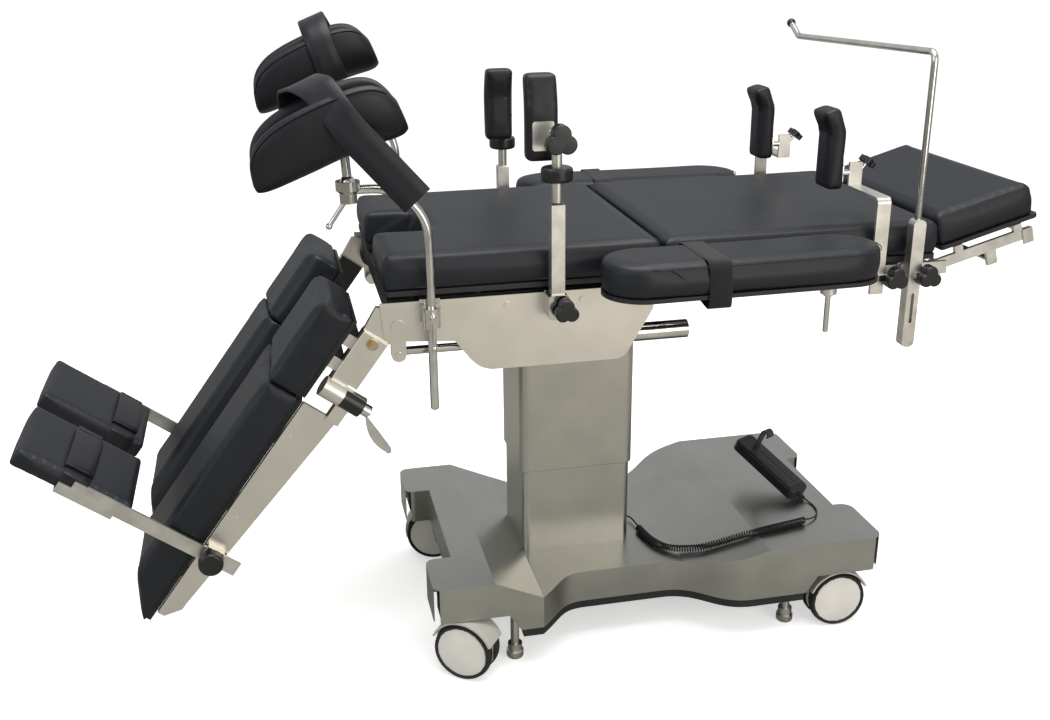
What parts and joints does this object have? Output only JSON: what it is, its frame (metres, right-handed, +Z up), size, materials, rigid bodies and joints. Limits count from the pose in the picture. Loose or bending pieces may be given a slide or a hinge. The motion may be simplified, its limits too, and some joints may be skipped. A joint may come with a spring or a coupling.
{
  "type": "operating table",
  "caption": "Operating table on a wheeled base with lifting column, jointed padded top, two leg sections, clamped-on supports and a corded hand control.",
  "frame": {"origin": "bottom centre of the box round the object, level with the soles of its floor feet", "axes": "+Z up, +X from the leg end towards the head end, -Y the side the picture is taken from"},
  "size_m": [2.0262, 0.8762, 1.2705],
  "materials": {
    "stainless": "satin",
    "painted steel": "satin",
    "chromed steel": "polished",
    "black pad cover": "matte",
    "black board": "matte",
    "control plastic": "matte",
    "cord rubber": "matte",
    "caster housing": "satin",
    "caster tyre": "matte"
  },
  "bodies": {
    "base": {"base_cover": "stainless", "base_chassis": "painted steel", "column_lower_cover": "stainless", "handset": "control plastic", "handset_cord": "cord rubber"},
    "floor feet": {"floor_feet": "chromed steel"},
    "lift": {"lift_mast": "chromed steel", "column_upper_cover": "stainless"},
    "pitch cradle": {"pitch_cradle": "painted steel"},
    "seat": {"seat_frame": "painted steel", "seat_side_plates": "stainless", "seat_board": "black board", "seat_pad": "black pad cover", "rail_clamps": "chromed steel"},
    "back": {"back_frame": "painted steel", "back_board": "black board", "back_pad": "black pad cover"},
    "head": {"head_frame": "painted steel", "head_board": "black board", "head_pad": "black pad cover"},
    "near leg": {"near_leg_arm": "stainless", "near_thigh_pad": "black pad cover"},
    "near calf": {"near_calf_frame": "stainless", "near_calf_pad": "black pad cover"},
    "near clamp lever": {"near_leg_clamp_lever": "black board"},
    "near leg rod": {"near_leg_rod": "chromed steel"},
    "near foot plate": {"near_foot_plate": "black pad cover"},
    "near arm board": {"near_armboard_base": "black board", "near_armboard_pad": "black pad cover"},
    "near crutch rod": {"near_crutch_rod": "chromed steel"},
    "near crutch cradle": {"near_crutch_cradle": "black pad cover"},
    "near lateral post": {"near_lateral_post": "chromed steel"},
    "near lateral pad": {"near_lateral_pad": "black pad cover"},
    "near shoulder support": {"near_shoulder_bar": "stainless", "near_shoulder_pad": "black pad cover"},
    "far leg": {"far_leg_arm": "stainless", "far_thigh_pad": "black pad cover"},
    "far calf": {"far_calf_frame": "stainless", "far_calf_pad": "black pad cover"},
    "far clamp lever": {"far_leg_clamp_lever": "black board"},
    "far leg rod": {"far_leg_rod": "chromed steel"},
    "far foot plate": {"far_foot_plate": "black pad cover"},
    "far arm board": {"far_armboard_base": "black board", "far_armboard_pad": "black pad cover"},
    "far crutch rod": {"far_crutch_rod": "chromed steel"},
    "far crutch cradle": {"far_crutch_cradle": "black pad cover"},
    "far lateral post": {"far_lateral_post": "chromed steel"},
    "far lateral pad": {"far_lateral_pad": "black pad cover"},
    "far shoulder support": {"far_shoulder_bar": "stainless", "far_shoulder_pad": "black pad cover"},
    "screen post": {"screen_post": "stainless"},
    "screen rod": {"screen_rod": "chromed steel"},
    "near left caster": {"near_left_caster_body": "caster housing"},
    "near left wheels": {"near_left_caster_wheels": "caster tyre"},
    "near right caster": {"near_right_caster_body": "caster housing"},
    "near right wheels": {"near_right_caster_wheels": "caster tyre"},
    "far left caster": {"far_left_caster_body": "caster housing"},
    "far left wheels": {"far_left_caster_wheels": "caster tyre"},
    "far right caster": {"far_right_caster_body": "caster housing"},
    "far right wheels": {"far_right_caster_wheels": "caster tyre"}
  },
  "joints": [
    {"name": "feet jacks", "type": "slide", "parent": "base", "child": "floor feet", "axis": [0, 0, 1], "range_m": [0, 0.02]},
    {"name": "lift", "type": "slide", "parent": "base", "child": "lift", "axis": [0, 0, 1], "range_m": [-0.15, 0.115]},
    {"name": "pitch", "type": "hinge", "parent": "lift", "child": "pitch cradle", "pos_m": [0.08703, 0, 0.697], "axis": [0, -1, 0], "range_deg": [-25, 25]},
    {"name": "roll", "type": "hinge", "parent": "pitch cradle", "child": "seat", "pos_m": [0.08703, 0, 0.748], "axis": [1, 0, 0], "range_deg": [-20, 20]},
    {"name": "back", "type": "hinge", "parent": "seat", "child": "back", "pos_m": [0.20803, 0, 0.8], "axis": [0, 1, 0], "range_deg": [-55, 30], "deforming": ["back_pad"]},
    {"name": "head", "type": "hinge", "parent": "back", "child": "head", "pos_m": [0.79003, 0, 0.797], "axis": [0, 1, 0], "range_deg": [-30, 60]},
    {"name": "near leg", "type": "hinge", "parent": "seat", "child": "near leg", "pos_m": [-0.30097, -0.259, 0.765], "axis": [0, 1, 0], "range_deg": [-35, 53]},
    {"name": "near leg rod", "type": "slide", "parent": "seat", "child": "near leg rod", "axis": [-1, 0, 0], "range_m": [-0.034, 0.045]},
    {"name": "near leg swing", "type": "hinge", "parent": "near leg", "child": "near calf", "pos_m": [-0.39906, -0.284, 0.63482], "axis": [-0.7986, 0, 0.6018], "range_deg": [0, 80]},
    {"name": "near clamp lever", "type": "hinge", "parent": "near leg", "child": "near clamp lever", "pos_m": [-0.37511, -0.284, 0.61677], "axis": [-0.7986, 0, 0.6018], "range_deg": [-30, 60]},
    {"name": "near foot plate", "type": "slide", "parent": "near calf", "child": "near foot plate", "axis": [-0.7986, 0, 0.6018], "range_m": [-0.05, 0.08]},
    {"name": "near arm board", "type": "hinge", "parent": "back", "child": "near arm board", "pos_m": [0.53103, -0.306, 0.806], "axis": [0, 0, 1], "range_deg": [0, 45]},
    {"name": "near crutch rod", "type": "hinge", "parent": "seat", "child": "near crutch rod", "pos_m": [-0.24197, -0.3, 0.812], "axis": [0, 0, 1], "range_deg": [-20, 20]},
    {"name": "near crutch cradle", "type": "hinge", "parent": "near crutch rod", "child": "near crutch cradle", "pos_m": [-0.37797, -0.3, 1.042], "axis": [0, 1, 0], "range_deg": [-15, 15]},
    {"name": "near lateral post", "type": "slide", "parent": "seat", "child": "near lateral post", "axis": [0, 0, 1], "range_m": [-0.04, 0.08]},
    {"name": "near lateral pad", "type": "hinge", "parent": "near lateral post", "child": "near lateral pad", "pos_m": [-0.00897, -0.3, 1.1], "axis": [0, 0, 1], "range_deg": [-25, 25]},
    {"name": "near shoulder support", "type": "slide", "parent": "back", "child": "near shoulder support", "axis": [1, 0, 0], "range_m": [-0.05, 0]},
    {"name": "far leg", "type": "hinge", "parent": "seat", "child": "far leg", "pos_m": [-0.30097, 0.259, 0.765], "axis": [0, 1, 0], "range_deg": [-35, 53]},
    {"name": "far leg rod", "type": "slide", "parent": "seat", "child": "far leg rod", "axis": [-1, 0, 0], "range_m": [-0.034, 0.045]},
    {"name": "far leg swing", "type": "hinge", "parent": "far leg", "child": "far calf", "pos_m": [-0.39906, 0.284, 0.63482], "axis": [0.7986, 0, -0.6018], "range_deg": [0, 80]},
    {"name": "far clamp lever", "type": "hinge", "parent": "far leg", "child": "far clamp lever", "pos_m": [-0.37511, 0.284, 0.61677], "axis": [0.7986, 0, -0.6018], "range_deg": [-30, 60]},
    {"name": "far foot plate", "type": "slide", "parent": "far calf", "child": "far foot plate", "axis": [-0.7986, 0, 0.6018], "range_m": [-0.05, 0.08]},
    {"name": "far arm board", "type": "hinge", "parent": "back", "child": "far arm board", "pos_m": [0.53103, 0.306, 0.806], "axis": [0, 0, -1], "range_deg": [0, 45]},
    {"name": "far crutch rod", "type": "hinge", "parent": "seat", "child": "far crutch rod", "pos_m": [-0.22797, 0.3, 0.812], "axis": [0, 0, 1], "range_deg": [-20, 20]},
    {"name": "far crutch cradle", "type": "hinge", "parent": "far crutch rod", "child": "far crutch cradle", "pos_m": [-0.36397, 0.3, 1.087], "axis": [0, 1, 0], "range_deg": [-15, 15]},
    {"name": "far lateral post", "type": "slide", "parent": "seat", "child": "far lateral post", "axis": [0, 0, 1], "range_m": [-0.04, 0.08]},
    {"name": "far lateral pad", "type": "hinge", "parent": "far lateral post", "child": "far lateral pad", "pos_m": [0.01303, 0.3, 1.055], "axis": [0, 0, 1], "range_deg": [-25, 25]},
    {"name": "far shoulder support", "type": "slide", "parent": "back", "child": "far shoulder support", "axis": [1, 0, 0], "range_m": [-0.05, 0]},
    {"name": "screen post", "type": "slide", "parent": "back", "child": "screen post", "axis": [1, 0, 0], "range_m": [0, 0.03]},
    {"name": "screen rod", "type": "hinge", "parent": "screen post", "child": "screen rod", "pos_m": [0.70803, -0.30255, 0.913], "axis": [0, 0, 1], "range_deg": [-60, 90]},
    {"name": "near left swivel", "type": "hinge", "parent": "base", "child": "near left caster", "pos_m": [-0.21197, -0.25, 0.135], "axis": [0, 0, 1], "continuous": true},
    {"name": "near left axle", "type": "hinge", "parent": "near left caster", "child": "near left wheels", "pos_m": [-0.18903, -0.26606, 0.0631], "axis": [0.5736, 0.8192, 0], "continuous": true},
    {"name": "near right swivel", "type": "hinge", "parent": "base", "child": "near right caster", "pos_m": [0.65803, -0.25, 0.135], "axis": [0, 0, 1], "continuous": true},
    {"name": "near right axle", "type": "hinge", "parent": "near right caster", "child": "near right wheels", "pos_m": [0.63003, -0.25, 0.0631], "axis": [0, -1, 0], "continuous": true},
    {"name": "far left swivel", "type": "hinge", "parent": "base", "child": "far left caster", "pos_m": [-0.21197, 0.25, 0.135], "axis": [0, 0, 1], "continuous": true},
    {"name": "far left axle", "type": "hinge", "parent": "far left caster", "child": "far left wheels", "pos_m": [-0.18458, 0.24418, 0.0631], "axis": [0.2079, 0.9781, 0], "continuous": true},
    {"name": "far right swivel", "type": "hinge", "parent": "base", "child": "far right caster", "pos_m": [0.65803, 0.25, 0.135], "axis": [0, 0, 1], "continuous": true},
    {"name": "far right axle", "type": "hinge", "parent": "far right caster", "child": "far right wheels", "pos_m": [0.63378, 0.264, 0.0631], "axis": [-0.5, -0.866, 0], "continuous": true}
  ],
  "couplings": [
    {"joint": "near leg rod", "follows": "near leg", "m_per_rad": 0.0458},
    {"joint": "far leg rod", "follows": "far leg", "m_per_rad": 0.0458}
  ]
}
